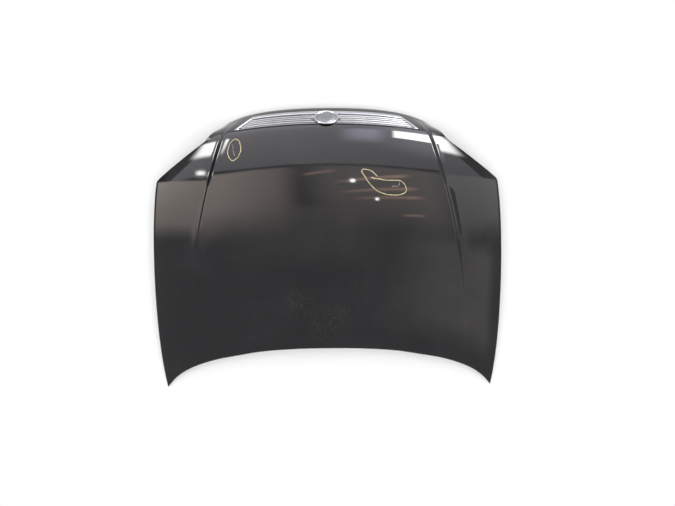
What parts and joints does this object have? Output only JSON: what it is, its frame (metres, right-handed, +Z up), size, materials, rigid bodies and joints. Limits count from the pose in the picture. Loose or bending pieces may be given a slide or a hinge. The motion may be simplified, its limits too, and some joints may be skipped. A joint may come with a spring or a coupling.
{
  "type": "car bonnet",
  "caption": "Pressed steel engine hood, black gloss skin hemmed onto a ribbed inner frame, nose grille with round medallion, striker bow and swinging safety catch",
  "frame": {"origin": "centre of the bounding box at the floor that the panel lies on", "axes": "+X to the panel's right seen from above with the nose away, +Y towards the nose, +Z up out of the outer skin"},
  "size_m": [1.4272, 1.1662, 0.178],
  "materials": {
    "black_paint": "gloss",
    "primed_steel": "satin",
    "chrome_trim": "polished",
    "silver_plastic": "satin",
    "zinc_steel": "satin",
    "black_rubber": "matt",
    "mastic": "matt"
  },
  "bodies": {
    "panel": {"catch_bracket": "zinc_steel", "catch_rivet": "zinc_steel", "catch_spring": "zinc_steel", "grille_clip_bottom_left": "zinc_steel", "grille_clip_bottom_middle": "zinc_steel", "grille_clip_bottom_right": "zinc_steel", "grille_clip_top_left": "zinc_steel", "grille_clip_top_middle": "zinc_steel", "grille_clip_top_right": "zinc_steel", "grille_insert": "silver_plastic", "grille_surround": "chrome_trim", "hinge_nut_left_front": "zinc_steel", "hinge_nut_left_rear": "zinc_steel", "hinge_nut_right_front": "zinc_steel", "hinge_nut_right_rear": "zinc_steel", "hinge_reinforcement_left": "primed_steel", "hinge_reinforcement_right": "primed_steel", "inner_frame_beam_left": "primed_steel", "inner_frame_beam_right": "primed_steel", "inner_frame_corner_left": "primed_steel", "inner_frame_corner_right": "primed_steel", "inner_frame_front": "primed_steel", "inner_frame_nose": "primed_steel", "inner_frame_rear": "primed_steel", "inner_frame_rib_1_left": "primed_steel", "inner_frame_rib_1_right": "primed_steel", "inner_frame_rib_2_left": "primed_steel", "inner_frame_rib_2_right": "primed_steel", "inner_frame_spine": "primed_steel", "inner_frame_wing_left": "primed_steel", "inner_frame_wing_right": "primed_steel", "mastic_left_1": "mastic", "mastic_left_2": "mastic", "mastic_left_3": "mastic", "mastic_left_4": "mastic", "mastic_left_5": "mastic", "mastic_left_6": "mastic", "mastic_right_1": "mastic", "mastic_right_2": "mastic", "mastic_right_3": "mastic", "mastic_right_4": "mastic", "mastic_right_5": "mastic", "mastic_right_6": "mastic", "medallion_base": "chrome_trim", "medallion_disc": "silver_plastic", "outer_skin": "black_paint", "prop_rod_grommet": "black_rubber", "rubber_buffer_front_left": "black_rubber", "rubber_buffer_front_right": "black_rubber", "rubber_buffer_rear_left": "black_rubber", "rubber_buffer_rear_right": "black_rubber", "striker": "zinc_steel", "striker_bolt_left": "zinc_steel", "striker_bolt_right": "zinc_steel", "striker_nut_left": "zinc_steel", "striker_nut_right": "zinc_steel", "striker_reinforcement": "primed_steel"},
    "safety_catch": {"safety_hook": "zinc_steel"}
  },
  "joints": [
    {"name": "safety_catch_swing", "type": "hinge", "parent": "panel", "child": "safety_catch", "pos_m": [0.072, 0.41506, 0.12337], "axis": [1, 0, 0], "range_deg": [0, 22], "stiffness_Nm_per_rad": 0.15, "springref_deg": -40.11}
  ]
}
